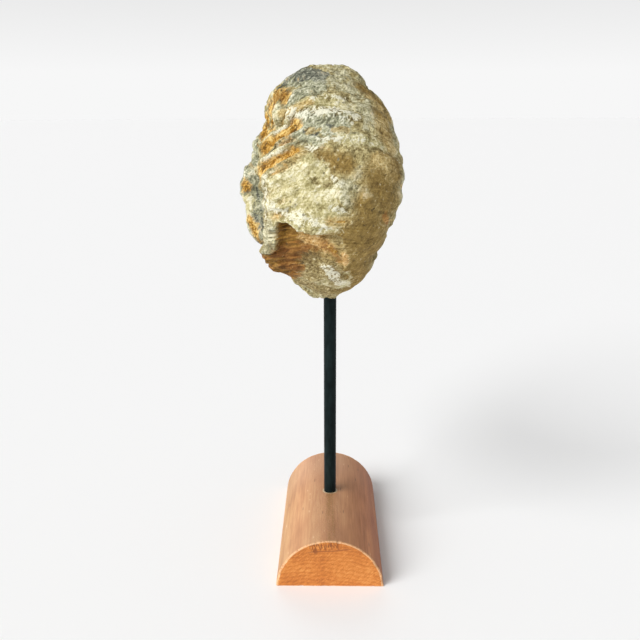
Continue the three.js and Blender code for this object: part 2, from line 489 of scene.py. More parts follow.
def rowAngles():
    # how far back along the spiral each row lies; each place of crowding is a bell curve added to
    # how densely the rows lie
    fine = np.linspace(0, 360, 7201)
    density = np.ones(len(fine))
    for middle, run, closer in coil["crowding"]:
        density += closer * np.exp(-(((fine - middle) / run) ** 2))
    total = np.concatenate([[0], np.cumsum(density[1:])])
    return np.interp(np.arange(coil["rows"]) / coil["rows"] * total[-1], total, fine)


def coilSurface():
    # points[around, across] of the bare coil, from the axis on the left over the outer edge to
    # the axis on the right, with each point's share of its own whorl's reach, the number of ribs
    # back to the mouth, how much is left of the ribs, and how near the seam of two whorls is
    older = rowAngles()[:, None]
    angle = coil["mouthAngle"] + older
    shares = evenShares(coil["columns"] // 2 + 1)[None, :]
    rise = smooth(older / coil["mouthRun"])
    stretch = wearAt(angle, "reach")

    def size(turn, first, growth):
        # a reach or width, which is less by the growth for each turn back from the mouth
        back = older + 360 * turn
        own = first * growth ** (-back / 360)
        return blend(own / growth, own, rise) if turn == 0 else own

    turnRight = np.radians(coil["turn"])
    sideways = np.array([np.cos(turnRight), np.sin(turnRight), 0])
    forward = np.array([np.sin(turnRight), -np.cos(turnRight), 0])
    lean = np.radians(angle)[..., None]
    direction = np.cos(lean) * forward + np.sin(lean) * [0, 0, 1]
    distance = size(0, coil["reach"], coil["growth"]) * stretch * shares
    spine = np.array(coil["centre"]) + distance[..., None] * direction
    halves = []
    for side, sign in (("left", -1), ("right", 1)):
        heights, whorlShares, counts = [], [], []
        for turn in range(coil["turns"]):
            share = distance / (size(turn, coil["reach"], coil["growth"]) * stretch)
            width = size(turn, wearAt(angle, side), coil["widthGrowth"])
            heights.append(width * whorlSection(share))
            whorlShares.append(share)
            counts.append(ribs["perTurn"] * older / 360 + ribs["turnShift"] * turn + 0 * share)
        height = heights[0]
        for other in heights[1:]:
            height = roundedMax(height, other, coil["seamRound"])
        top = np.argmax(heights, axis=0)[None]
        upper, lower = np.sort(heights, axis=0)[[-1, -2]]
        height = blend(coil["hubWidth"], height, smooth(distance / coil["hubRadius"]))
        half = spine + sign * height[..., None] * sideways
        pick = [np.take_along_axis(np.array(values), top, 0)[0] for values in (whorlShares, counts)]
        outer = smooth((pick[0] - ribs["outerFrom"]) / ribs["outerRun"])
        left = blend(wearAt(angle, side + "Ribs"), wearAt(angle, "outerRibs"), outer)
        left = left * coil["growth"] ** -top[0] * smooth((distance - ribs["innerFrom"]) / ribs["innerRun"])
        halves.append((half, *pick, left, 1 - smooth((upper - lower) / coil["seamShade"])))
    return [np.concatenate([left, right[:, -2::-1]], axis=1) for left, right in zip(*halves)]


def ribRelief(share, count, left):
    # ribs as a wave along the coil, which lean back outside the shoulder. Near the axis there is
    # one crest to a rib; further out the crest parts in two, evenly spaced over the outer edge
    leaning = ribs["lean"] * (np.maximum(share, ribs["leanFrom"]) - ribs["leanAbout"])
    place = count + ribs["phase"] + leaning
    phase = np.abs((place + 0.5) % 1 - 0.5) * 2 * np.pi
    part = smooth((share - ribs["parting"]) / ribs["partingRun"])
    crest = np.cos((phase - np.pi / 2 * part) / (1 - part / 2))
    crest = 2 * (0.5 + 0.5 * crest) ** ribs["sharpness"] - 1
    shown = smooth((share - coil["seam"]) / ribs["rise"])
    return crest * (shown * left), crest * shown, place


def along(table, value):
    # a table of (value, result) pairs read between its entries
    places, results = np.array(table, float).T
    return np.interp(value, places, results)


def swapped(table):
    # the table read the other way, from result to value
    return tuple((result, value) for value, result in table)


def trimmed(points):
    # every side-facing part of the surface moved out by the table for its side and height, and
    # then the knocks, each fading from its centre out to its radius
    normal = outward(points)
    x, y, z = np.moveaxis(points, -1, 0)
    behind = smooth((y - trim["rearFrom"]) / trim["rearRun"])
    toLeft = blend(along(trim["left"], z), along(trim["rear"], z), behind)
    facing = normal[..., 0] / trim["facing"]
    move = along(trim["right"], z) * smooth(facing) - toLeft * smooth(-facing)
    moved = points + move[..., None] * [1, 0, 0]
    for centre, radius, out in knocks:
        far = np.linalg.norm(points - np.array(centre), axis=-1) / radius
        moved = moved + normal * (out * (1 - smooth(far)))[..., None]
    return moved


def breakDepth(points):
    # how far the break has sunk each point, how surely the point lies in it, the same with a
    # softer rim for its colour, and where in that the stripes are. The depth falls from the ledge
    # down to the toe
    x, y, z = np.moveaxis(points, -1, 0)
    flat = points * [1, 0, 1]
    (deep, long), (fine, short) = breakOut["ragged"]
    ragged = deep * noise(flat, long, 31) + fine * noise(flat, short, 32)
    ledge = along(breakOut["ledge"], x) + ragged
    left = along(swapped(breakOut["left"]), z) + ragged
    right = breakOut["right"] + ragged
    rim = smooth((x - left) / breakOut["leftEdge"]) * smooth((right - x) / breakOut["edge"])
    rim = rim * smooth((ledge - z) / breakOut["edge"])
    inside = rim * smooth((breakOut["back"] - y + 2 * ragged) / 3)
    slope = np.clip((z - breakOut["toe"]) / (ledge - breakOut["toe"]), 0, 1) ** breakOut["fall"]
    far, size = breakOut["tintDrift"]
    drift = far * noise(points, size, 33) + 2 * ragged
    tinted = rim * smooth((breakOut["tintBack"] - y + drift) / 8)
    tinted = tinted * smooth((z - breakOut["tintToe"] + drift) / breakOut["tintFade"])
    layered = inside * smooth((z - breakOut["layerToe"] + 4 * ragged) / breakOut["layerFade"])
    (low, lowX), (high, highX) = breakOut["stripes"]
    stripesTo = blend(lowX, highX, smooth((z - low) / (high - low)))
    striped = tinted * smooth((stripesTo - x) / breakOut["stripesFade"])
    return along(breakOut["depth"], x) * slope * inside, layered, tinted, striped


# Where each colour of the stone lies: lines through the middle of its patches, each with how far
# the colour reaches on either side
patches = {
    "ochre": (
        (5.6, (-26.5, -12.5, 261), (-29, -12, 258), (-31, -15, 254.5)),
        (4.6, (-29.5, -8, 261), (-32, -5, 257)),
        (4.0, (-23.5, -17, 261.5), (-27, -13, 259.5)),
        (4.4, (-34.3, 7.8, 250), (-35, 13, 246), (-36, 13, 243)),
        (4.0, (-31, -13, 252), (-30.5, -14, 249), (-32, -21, 245), (-34, -18, 240)),
        (3.5, (-18, -35, 248), (-21, -35, 243), (-26, -32, 240), (-32, -29, 237)),
        (3.2, (-21, -42, 232), (-28, -39, 229)),
        (1.6, (-16, -44, 236), (-21, -42, 233)),
        (4.2, (-28, -39, 229), (-34, -36, 225)),
        (3.0, (-49, 21, 214), (-48, 20, 212)),
        (2.7, (-46, 13, 195), (-43, 14, 188), (-40, 16, 183)),
        (1.6, (-18, -44, 238), (-16, -44, 236)),
        (1.2, (0, -45, 190), (3, -44, 187)),
        (0.7, (0, -53, 204), (7, -52, 203)),
    ),
    "rust": (
        (1.6, (27, -42, 205), (29, -37, 201)),
        (2.6, (-28, -30, 185), (-21, -32, 187), (-12, -37, 188)),
        (3.2, (-30, -21, 173), (-24, -14, 170), (-18, -26, 173)),
        (2.4, (-24, -30, 178), (-15, -32, 177)),
        (2.0, (-27, -27, 180), (-17, -33, 183)),
        (2.6, (-2, -45, 191), (2, -44, 187)),
        (1.8, (3, -44, 185), (5, -42, 181)),
    ),
    "peach": (
        (4.4, (-9, -41, 193), (-4, -44, 191)),
        (1.6, (7, -44, 185), (8, -41, 180)),
    ),
    "sand": (
        (3.6, (-15, -45, 236), (-20, -43, 233), (-25, -41, 230)),
        (2.6, (0, -53, 204), (7, -52, 203)),
        (2.6, (-24, -27, 254), (-19, -32, 255), (-15, -31, 256), (-10, -31, 258)),
        (5.8, (-8, -42, 192), (3, -44, 187)),
        (3.0, (4, -43, 185), (7, -41, 180)),
        (5.0, (27, -30, 247), (29.6, -33, 238)),
        (4.0, (24, -43, 232), (28, -38, 226)),
        (3.0, (21, -17, 260), (26, -20, 254)),
    ),
    "umber": (
        (4.2, (-28, -30, 185), (-21, -31, 184.5), (-13, -34, 184)),
        (3.0, (-12, -36, 188), (-7, -40, 187)),
        (2.4, (-24, -28, 176), (-16, -31, 176)),
        (3.4, (-25, -16, 261.5), (-29, -11, 258)),
    ),
    "wall": (
        (3.6, (-33.5, -27, 201), (-32.5, -27, 193), (-32.5, -25, 185)),
        (3.2, (-30, -36, 200), (-30.5, -32, 190)),
    ),
    "tan": (
        (4.0, (-12, -35, 184), (-11, -32, 176)),
        (6.0, (-19, -2, 163), (-11, -19, 164), (-5, -20, 160)),
        (5.0, (-4, -37, 180), (0, -36, 175)),
        (1.6, (-11, -42, 245), (-5, -43, 246.5)),
        (1.8, (3, -43, 247), (8, -42, 245.5)),
    ),
    "chalk": (
        (1.1, (-9, -30, 261), (-4, -29, 261), (4, -29, 261), (8, -27, 260)),
        (3.1, (-20, -32, 253), (-14, -36, 254), (-6, -37, 255), (3, -37, 254), (12, -37, 252)),
        (1.1, (-6, -46, 242), (0, -46, 242), (6, -45, 242), (16, -43, 241)),
        (0.9, (-44, 12, 196), (-42.4, 12.6, 192.5), (-40.8, 12.2, 188.5), (-39.2, 12.6, 184)),
        (0.5, (16, -43, 241), (26, -37, 237), (32, -30, 234)),
        (1.6, (-33, -36, 231), (-28, -41, 234), (-22, -43, 236)),
        (1.4, (-30, -30, 236), (-24, -38, 238), (-19, -39, 240)),
        (1.6, (-27, -30, 244), (-22, -31, 247)),
        (1.3, (-26, -26, 256), (-23, -26, 257)),
        (1.8, (-11, -43, 238), (-7, -47, 237)),
        (2.2, (-32, -43, 224), (-32, -36, 214), (-32, -33, 203)),
        (2.6, (-31, -41, 210), (-22, -46, 207), (-14, -49, 202)),
        (2.2, (-14, -50, 207), (-9, -52, 203), (-2, -51, 200)),
        (1.5, (1, -54, 210), (7, -53, 208)),
        (1.5, (2, -51, 224), (5, -52, 221)),
        (1.7, (-46, 13, 198), (-43, 13, 191), (-39, 16, 183)),
        (1.2, (-46, 19, 207), (-45, 15, 200)),
        (1.6, (-50, 23, 221), (-50, 23, 218)),
        (2.1, (-3, -38, 177), (3, -30, 168)),
        (2.0, (0, -38, 178), (6, -28.5, 167)),
        (1.2, (3, -36, 175), (7.5, -29, 168)),
    ),
    "grey": (
        (5.0, (-23, -5, 268), (-15, -13, 269), (-6, -22, 267)),
        (5.0, (-20, -23, 261), (-16, -24, 263), (-10, -24, 265)),
        (6.5, (-15, -36, 248), (-4, -40, 248), (3, -41, 248)),
        (6.0, (-16, -40, 243), (-9, -43, 244)),
        (12.0, (-42, 21, 233), (-47, 21, 218), (-47, 19, 205), (-42, 14, 190)),
        (4.0, (-31, -37, 198), (-32, -28, 185)),
        (3.0, (-1, -37, 176), (5, -30, 168)),
    ),
    "dark": (
        (4.2, (-23, -5, 269), (-19, -4, 272), (-14, -11, 273), (-9, -12, 273), (-5, -14, 272)),
        (2.0, (-23, -5, 268), (-15, -11, 270), (-7, -16, 270)),
        (0.9, (-42, 19, 212), (-41, 18, 206)),
        (1.0, (-40, 14, 205), (-38, 12, 192)),
        (0.6, (-45, 16, 203), (-42, 11, 196)),
        (1.2, (-12, -41, 245), (-6, -44, 244)),
        (1.0, (-2, -41, 248), (5, -43, 247)),
        (1.0, (2.8, -50, 232.6), (3.2, -50, 232.6)),
        (0.9, (-18.8, -44, 236.5), (-18.4, -44, 236.5)),
        (1.8, (-42, 12.3, 198), (-40, 11.5, 191)),
        (1.2, (-38.7, 10.6, 196), (-37.5, 10, 188)),
        (1.1, (-34.8, -27, 200), (-34.6, -27, 193)),
        (0.8, (-35, -30, 182.5), (-29, -33, 183)),
    ),
    # partly the stone's own brown, partly painted shade over its right and lower right side
    "brown": (
        (4.6, (17, -11, 265), (24, -13, 259), (28, -15, 253)),
        (4.0, (24, -25, 254), (29, -26, 245)),
        (4.5, (-4, -49, 232), (8, -49, 230)),
        (6.0, (28, -36, 236), (33, -37, 224)),
        (9.0, (24, -45, 222), (29, -42, 210)),
        (5.5, (11, -31, 171), (15, -30, 175)),
        (6.0, (17, -50, 211), (21, -46, 201)),
        (13.0, (11, -47, 194), (14, -37, 180), (12, -27, 168)),
        (12.0, (18, -47, 200), (22, -36, 184)),
    ),
    "cream": (
        (9.0, (-25, -45, 218), (-14, -51, 217), (-6, -53, 214)),
        (8.0, (-27, -42, 207), (-16, -48, 205), (-6, -53, 205), (0, -54, 207)),
        (4.0, (-11, -48, 231), (-4, -49, 227)),
        (6.2, (-1, -36, 176), (4, -29, 168)),
        (4.5, (-12, -31, 258), (8, -32, 257)),
        (2.6, (6, -45, 242), (16, -43, 241), (26, -37, 237), (32, -30, 234)),
        (4.0, (-47, 19, 205), (-43, 16, 192)),
    ),
}


def patchField(points, lines):
    # 1 on the middle line of a patch, a half at its reach and 0 at twice that
    field = np.zeros(points.shape[:-1])
    for reach, *stops in lines:
        stops = np.array(stops, float)
        for start, end in zip(stops[:-1], stops[1:]):
            run = end - start
            share = np.clip(((points - start) @ run) / (run @ run), 0, 1)
            far = np.linalg.norm(points - start - share[..., None] * run, axis=-1)
            field = np.maximum(field, 1 - far / reach / 2)
    return field


# The stone's unevenness: the first four are kinds of noise, each with its height and the size of
# its features
weathering = {
    "swell": (1.2, 24.0),
    "lumps": (0.55, 9.0),
    "chips": (1.0, 7.0),
    "grain": (0.4, 3.2),
    "chipDepth": 0.75,
    "flakes": 0.3,  # how far flakes stand out between the chips
    "calmRight": 0.6,  # how much less of it there is at the right front
    "calmBald": 0.45,  # and where the ribs are worn away
    "beds": ((8.0, 8.0, 1.5), 0.12),  # size of the layers in the break, and how they dip to the right
    "layers": 0.7,  # how far they stand out
    "treads": (1.1, 3.4, 0.2),  # steps in the break: depth, height and dip
    "chalk": 0.8,  # how far pale ribs stand out
    "chalkLines": 6,  # how many of the chalk patches, from the first on, stand out
    "wall": 0.6,  # how far layers stand out on the wall beside the break
    "poleFade": 4.0,  # columns next to the poles in which all of it fades
}


def weathered(points, worn):
    # how far wear has moved each point out, and the grain in that by itself. Chips are cut
    # wherever their noise is high, and flakes stand out where it is low
    x, y, z = np.moveaxis(points, -1, 0)

    def rough(kind, *more):
        # layered noise of one kind's height and size
        height, size = weathering[kind]
        return height * layeredNoise(points, size, *more)

    swell = rough("swell", 1, 3)
    lumps = rough("lumps", 2, 11)
    chips = rough("chips", 3, 17)
    flakes = weathering["flakes"] * smooth((-chips - 0.2) / 0.2)
    chips = flakes - weathering["chipDepth"] * smooth((chips - 0.15) / 0.14)
    grain = rough("grain", 2, 23, 0.6)
    calm = 1 - weathering["calmRight"] * smooth((x - 4) / 14) * smooth((4 - y) / 14)
    calm = calm * (1 - weathering["calmBald"] * worn)
    return swell + calm * (lumps + chips + grain), grain


def brokenLayers(points):
    # the layers that show in the break, as noise drawn out along them, and the steps between
    # them, each a slope with a sharp rise at its foot
    x, y, z = np.moveaxis(points, -1, 0)
    sizes, dip = weathering["beds"]
    bed = points / sizes + [0, 0, dip] * x[..., None]
    layers = noise(bed, 1, 41) + 0.5 * noise(bed * 1.9, 1, 42)
    depth, height, dip = weathering["treads"]
    tread = (z - dip * x + 1.5 * noise(points, 11, 43)) / height % 1
    steps = depth * (tread - smooth(tread / 0.18)) + 0.4
    return layers, steps * smooth((2 - x) / 14)


def stoneSurface():
    # the whole stone: the bare coil, trimmed, ribbed, broken and weathered
    points, share, count, left, seam = coilSurface()
    points = trimmed(points)
    worn = smooth(1.4 - np.linalg.norm(points - bald["centre"], axis=-1) / bald["radius"])
    left = left * (1 - (1 - bald["ribs"]) * worn)
    left = left * (1 + ribs["unevenness"] * noise(points, ribs["unevenSize"], 5))
    count = count + ribs["waver"] * noise(points, ribs["waverSize"], 6)
    rib, crest, place = ribRelief(share, count, left)
    points = points + outward(points) * (ribs["height"] * rib)[..., None]
    depth, broken, tinted, striped = breakDepth(points)
    inward = (np.array(coil["centre"]) - points) * [0.2, 1, 1]  # the break cuts in mostly from the front
    inward /= np.maximum(np.linalg.norm(inward, axis=-1, keepdims=True), 1e-9)
    relief, grain = weathered(points, worn)
    raised = patches["chalk"][: weathering["chalkLines"]]
    relief = relief + weathering["chalk"] * smooth(patchField(points, raised))
    layers, steps = brokenLayers(points)
    relief = blend(relief, layers * weathering["layers"] + steps + 0.5 * grain, broken)
    wall = patchField(points, patches["wall"]) * (1 - broken)
    relief = blend(relief, 0.3 * relief + weathering["wall"] * layers, smooth(wall * 2))
    edge = np.arange(points.shape[1])
    relief = relief * smooth(np.minimum(edge, edge[::-1]) / weathering["poleFade"])
    normal = blend(outward(points), -inward, broken[..., None])
    points = points + inward * depth[..., None] + normal * relief[..., None]
    fields = {
        "rib": crest * smooth(left / 0.5),
        "place": place,
        "share": share,
        "seam": seam * smooth((coil["seamTo"] - share) / 0.1),
        "worn": worn,
        "tinted": tinted,
        "striped": striped,
    }
    return points, fields


def makeAmmonite():
    # the stone's surface, which also holds how near each patch of colour is
    points, fields = stoneSurface()
    for kind, lines in patches.items():
        fields[kind] = patchField(points, lines)
    return skin("ammoniteStone", points, fields, mapped=True)


# The stone's look. Shades are its colours where the grain is darkest, middling and palest; marks
# are the colour of the painted shade in the seams between whorls, of chalky flecks, what an umber
# stain leaves of the colour it covers, and that of the pits
stone = {
    "shades": {
        "olive": ((106, 92, 50), (176, 160, 108), (232, 222, 170)),
        "grey": ((98, 98, 76), (166, 166, 134), (230, 228, 204)),
        "cream": ((155, 144, 92), (207, 197, 147), (247, 241, 211)),
        # brown, also laid on as painted shade over the right-hand side and in the furrows
        "brown": ((100, 77, 30), (147, 120, 60), (190, 161, 92)),
        "ochre": ((112, 80, 20), (190, 139, 46), (240, 210, 134)),
        "rust": ((106, 68, 22), (160, 108, 42), (212, 162, 90)),
        "dark": ((55, 57, 49), (110, 112, 96), (182, 182, 160)),
        "tan": ((100, 80, 40), (162, 143, 92), (214, 198, 150)),
        "peach": ((150, 106, 50), (212, 166, 98), (244, 214, 158)),
        "sand": ((130, 104, 54), (196, 168, 104), (234, 214, 158)),
        "wall": ((94, 88, 60), (170, 160, 120), (230, 224, 190)),
        "break": ((94, 64, 20), (134, 96, 30), (176, 134, 56)),
    },
    "marks": {"seam": (92, 72, 42), "chalk": (240, 237, 214), "umber": (190, 174, 146), "pit": (70, 60, 40)},
    "contrast": 0.15,  # how far from its middle a tone is darkest and palest; less is harder
    "chalk": 0.85,
    "pits": 0.6,
    "roughness": 0.98,
    "bump": 1.2,
}


def stoneFinish():
    # noises of several sizes add up to one tone, which picks a shade from each palette; each patch
    # of colour is then laid over the last where its field, broken up by noise, is high enough
    finish = Finish("weathered stone")
    names = ("rib", "place", "share", "seam", "worn", "tinted", "striped", *patches)
    fields = {name: finish.field(name) for name in names}
    broad = finish.noise(22, 3, 0.5)
    patchy = finish.noise(7, 5, 0.62, warp=0.6)
    worms = finish.noise(2.8, 4, 0.62, warp=1.0)
    sand = finish.noise(0.9, 3, 0.65)
    strokes = finish.noise(1.3, 3, 0.6, (1, 1, 5), 0.4, (0, 38, 0))
    alongRib = {"X": fields["place"] * 15, "Y": fields["share"] * 6}
    alongRib = finish.node("ShaderNodeCombineXYZ", None, alongRib)
    growth = finish.noise(1000, 3, 0.6, place=alongRib)
    tone = patchy * 0.4 + worms * 0.45 + strokes * 0.5 + growth * 0.4 + sand * 0.45 + broad * 0.25 - 0.725

    def shades(name, spread=1.0, value=tone):
        # a palette read by a tone, with less contrast where its spread is greater
        dark, middle, pale = (colour(*c) for c in stone["shades"][name])
        away = stone["contrast"] * spread
        return finish.stops(value, (0.5 - away, dark), (0.5, middle), (0.5 + away, pale))

    def mark(name):
        # the colour of one kind of mark
        return colour(*stone["marks"][name])

    def where(name, low=0.42, high=0.58, ragged=1.0):
        # how much of a patch shows: none where its field is low, all where it is high
        return (fields[name] + (patchy - 0.5) * 1.3 * ragged + (worms - 0.5) * 1.1 * ragged).ramp(low, high)

    greyer = (broad + (patchy - 0.5) * 0.6).ramp(0.5, 0.62) * 0.6
    shade = finish.mix(shades("olive"), shades("grey"), greyer)
    shade = finish.mix(shade, shades("grey"), where("grey", 0.25, 0.6))
    # partly the stone's own brown, partly painted shade on its right-hand side
    shade = finish.mix(shade, shades("brown", 1.5), where("brown", 0.1, 0.8, 0.6))
    shade = finish.mix(shade, shades("cream"), where("cream", 0.25, 0.65))
    flank = (0.9 - fields["share"]).ramp(0, 0.15)
    ridge = (fields["rib"] * 0.2 * flank + patchy - 0.5).ramp(0.1, 0.3)
    shade = finish.mix(shade, shades("cream"), ridge * 0.7)
    furrow = (0 - fields["rib"]).ramp(-0.2, 0.9) * flank * (1 - fields["worn"])
    # painted shade: the furrows between ribs on the flank darkened toward brown
    shade = finish.mix(shade, shades("brown"), furrow * 0.6)
    stain = (finish.noise(26, 3, 0.5) + furrow * 0.1 + (worms - 0.5) * 0.5).ramp(0.56, 0.7)
    shade = finish.mix(shade, shades("ochre"), stain * furrow * 0.8)
    # painted shade: the seams where two whorls meet darkened, broken up by noise
    paintedSeamShade = fields["seam"] * (patchy + 0.2).ramp(0.3, 0.9)
    shade = finish.mix(shade, mark("seam"), paintedSeamShade * 0.8)
    shade = finish.mix(shade, shades("dark"), where("dark", 0.38, 0.6))
    bedding = finish.noise(1.5, 4, 0.6, (7, 7, 1), 0.7, (0, -12, 0))
    seams = finish.noise(2.6, 3, 0.55, (6, 6, 1), 0.5, (0, -16, 0))
    breakTone = bedding * 0.75 + tone * 0.45 - 0.1
    drab = (fields["tinted"] + (patchy - 0.5) * 0.8).ramp(0.15, 0.75)
    shade = finish.mix(shade, shades("tan", 1.2), drab * 0.85)
    rust = shades("rust", 1, breakTone)
    striped = finish.mix(shades("break", 1, breakTone), rust, seams.ramp(0.52, 0.66) * 0.8)
    spread = fields["striped"] + (patchy - 0.5) * 0.5 + (bedding - 0.5) * 1.1
    shade = finish.mix(shade, striped, spread.ramp(0.1, 0.8))
    shade = finish.mix(shade, shades("tan"), where("tan", 0.3, 0.6))
    shade = finish.mix(shade, shades("sand"), where("sand", 0.2, 0.75, 0.7) * 0.9)
    shade = finish.mix(shade, shades("peach"), where("peach", 0.2, 0.75) * 0.9)
    shade = finish.mix(shade, rust, where("rust", 0.25, 0.75) * 0.8)
    wallShade = shades("wall", 0.8, bedding + tone * 0.3 - 0.15)
    shade = finish.mix(shade, wallShade, where("wall", 0.3, 0.75, 0.5) * 0.9)
    flecks = fields["chalk"] + (worms - 0.5) * 2.8 + (sand - 0.5) * 1.4 + (strokes - 0.5) * 1.2
    shade = finish.mix(shade, mark("chalk"), flecks.ramp(0.45, 0.95) * stone["chalk"])
    stained = fields["ochre"] * 1.3 - fields["rib"] * 0.1
    stained = stained + (patchy - 0.5) * 0.9 + (worms - 0.5) * 1.2 + (strokes - 0.5)
    shade = finish.mix(shade, shades("rust"), stained.ramp(0.35, 0.75) * 0.5)
    shade = finish.mix(shade, shades("ochre", 0.75), stained.ramp(0.5, 0.95))
    shade = finish.mix(shade, mark("umber"), where("umber", 0.1, 0.8, 0.6), "MULTIPLY")
    pits = (0.2 - finish.cells(3.4)).ramp(0, 0.08) * finish.noise(9).ramp(0.5, 0.6)
    shade = finish.mix(shade, mark("pit"), pits * stone["pits"])
    finish.set("Base Color", shade)
    finish.set("Roughness", stone["roughness"] - tone * 0.2)
    height = worms * 0.8 + sand * 0.4 + patchy * 0.6 + strokes * 0.45 + growth * 0.4 - pits * 0.5
    finish.set("Normal", finish.bump(height, stone["bump"]))
    return finish.material


def dress(piece, material, node):
    # the piece gets its material, stays with the root and takes the place of one of the solids
    piece.data.materials.clear()
    piece.data.materials.append(material)
    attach(piece, "root")
    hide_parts(node)


rodLow, rodHigh = (np.array(corner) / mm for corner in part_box("rod"))
rodCentre = (rodLow + rodHigh) / 2
rodRadius = (rodHigh[0] - rodLow[0]) / 2
# Holes for the rod; the one in the stone is cut from well below it
drill = {"clearance": 0.3, "stoneFrom": 120.0, "stoneSides": 48, "baseSides": 64, "above": 2.0}
holeRadius = rodRadius + drill["clearance"]

ammonite = makeAmmonite()
stoneHole = ((holeRadius, drill["stoneFrom"]), (holeRadius, rodHigh[2] + drill["clearance"]))
cut(ammonite, turned("drill", stoneHole, rodCentre, drill["stoneSides"]), "MANIFOLD")
dress(ammonite, stoneFinish(), "ammonite")
print("ammonite made:", len(ammonite.data.polygons), "faces")

# The rod, from its foot in the base to its top inside the stone
rod = {
    "sides": 64,
    "rings": 90,
    "chamfer": 0.5,
    "paint": ((14, 22, 22), (27, 38, 38)),  # where its mottling is darkest and palest
    "scuff": (60, 70, 68),
    "shine": 0.05,
    "roughness": 0.26,
    "bump": 0.03,
}


def makeRod():
    # a circle carried up the rod, with small chamfers at both ends
    heights = np.linspace(rodLow[2] + rod["chamfer"], rodHigh[2] - rod["chamfer"], rod["rings"])
    ends = rodRadius - rod["chamfer"]
    profile = [(ends, rodLow[2]), *((rodRadius, height) for height in heights), (ends, rodHigh[2])]
    return turned("blackRod", profile, rodCentre, rod["sides"])


def steelFinish():
    # a dark mottled paint, with paler scuffs drawn out along the rod that come and go
    finish = Finish("black painted steel")
    mottle = finish.noise(2.5, 4, 0.6, (1, 1, 3))
    scuffs = finish.noise(0.9, 3, 0.7, (1, 1, 14)).ramp(0.62, 0.72) * finish.noise(13, 3).ramp(0.52, 0.6)
    dark, pale = (colour(*tint) for tint in rod["paint"])
    shade = finish.stops(mottle, (0.35, dark), (0.65, pale))
    shade = finish.mix(shade, colour(*rod["scuff"]), scuffs * 0.4)
    finish.set("Specular IOR Level", rod["shine"])
    finish.set("Base Color", shade)
    finish.set("Roughness", mottle * 0.25 + rod["roughness"] + scuffs * 0.2)
    finish.set("Normal", finish.bump(finish.noise(0.7, 3, 0.6) + mottle * 0.5, rod["bump"]))
    return finish.material


rodPiece = makeRod()
dress(rodPiece, steelFinish(), "rod")
print("rod made")

# The base: a half-round block, its flat side down and its sawn ends to the front and back. Its
# round top is an arc whose axis lies a little below the flat
baseLow, baseHigh = (np.array(corner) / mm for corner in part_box("base"))
halfWidth, halfLength, baseHeight = baseHigh[0], (baseHigh[1] - baseLow[1]) / 2, baseHigh[2]
arcRadius = (halfWidth**2 + baseHeight**2) / (2 * baseHeight)
arcAxis = baseHeight - arcRadius
base = {
    "arcPoints": 190,
    "flatPoints": 60,
    "cornerPoints": 6,
    "ease": 0.6,  # how far edges are rounded
    "easeRings": 5,
    "rings": 150,
    "capRings": 26,
    "capSpread": 0.8,  # below 1 the rings on an end lie closer together near its edge
    "capMiddle": 0.45,  # height of the point they are drawn to, as a share of the block's
    "capReach": 22.0,  # about how far that point is from the edge
    "chipSize": 4.5,
    "chipReach": 1.2,  # how far from an edge chips go
    "chipDepth": 0.5,  # towards the middle
    "chipInset": 0.3,  # and along the block
    "chipsBehind": 0.25,  # how much of that there is at the back end
    "sawDepth": 0.12,
    "sawSize": 3.0,
    "chamfer": 0.8,  # round the rod's hole
}


def baseOutline():
    # the block's section from the bottom right: a small rounded corner, the arc, the other
    # corner and the flat
    ease = base["ease"]
    start = np.arcsin((ease - arcAxis) / arcRadius)
    side = arcRadius * np.cos(start)
    angle = np.linspace(start, np.pi - start, base["arcPoints"])
    arc = np.stack([arcRadius * np.cos(angle), arcAxis + arcRadius * np.sin(angle)], -1)
    bend = np.linspace(-np.pi / 2, 0, base["cornerPoints"], endpoint=False)
    corner = np.stack([side - ease + ease * np.cos(bend), ease + ease * np.sin(bend)], -1)
    across = np.linspace(ease - side, side - ease, base["flatPoints"])[1:-1]
    flat = np.stack([across, np.zeros(len(across))], -1)
    return np.concatenate([corner, arc, corner[::-1] * [-1, 1], flat])


def makeBase():
    # the outline carried along the block, drawn in a little round each end's edge and then to a
    # point across the end; the edges are chipped where noise is high, and the sawn ends uneven
    outline = baseOutline()
    centre = np.array([0, baseHeight * base["capMiddle"]])
    ease, capRings = base["ease"], base["capRings"]
    bend = np.linspace(0, np.pi / 2, base["easeRings"])
    inset = ease / base["capReach"]
    across = np.linspace(0, 1, capRings)[:-1] ** base["capSpread"] * (1 - inset)
    drawn = np.concatenate([across, 1 - inset * (1 - np.sin(bend))])
    capAlong = np.concatenate([np.zeros(capRings - 1), ease * (1 - np.cos(bend))])
    even = np.linspace(-1, 1, base["rings"] + 2)[1:-1]
    body = (halfLength - 2 * ease) * np.sin(even * np.pi / 2)
    rings = np.concatenate([capAlong - halfLength, body, halfLength - capAlong[::-1]])
    scale = np.concatenate([drawn, np.ones(len(body)), drawn[::-1]])
    section = centre + (outline - centre)[:, None, :] * scale[None, :, None]
    points = np.stack([section[..., 0], rings + 0 * section[..., 0], section[..., 1]], -1)
    fromEnd = (np.abs(points[..., 1]) - halfLength) / base["chipReach"]
    edge = np.exp(-(fromEnd**2)) * smooth((scale - 0.94) / 0.04)
    chips = smooth((layeredNoise(points, base["chipSize"], 3, 61) - 0.2) / 0.35) * edge
    chips = chips * blend(base["chipsBehind"], 1, points[..., 1] < 0)
    sawn = (scale < 0.97) * base["sawDepth"] * layeredNoise(points, base["sawSize"], 2, 62)
    toCentre = np.array([0, 0, centre[1]]) - points * [1, 0, 1]
    toCentre /= np.maximum(np.linalg.norm(toCentre, axis=-1, keepdims=True), 1e-6)
    onSide = points[..., 2] > ease / 2  # the flat underside stays flat
    points = points + toCentre * (base["chipDepth"] * chips * onSide)[..., None]
    points[..., 1] -= np.sign(points[..., 1]) * (base["chipInset"] * chips + np.abs(sawn))
    return skin("woodenBase", points, {"edge": edge})


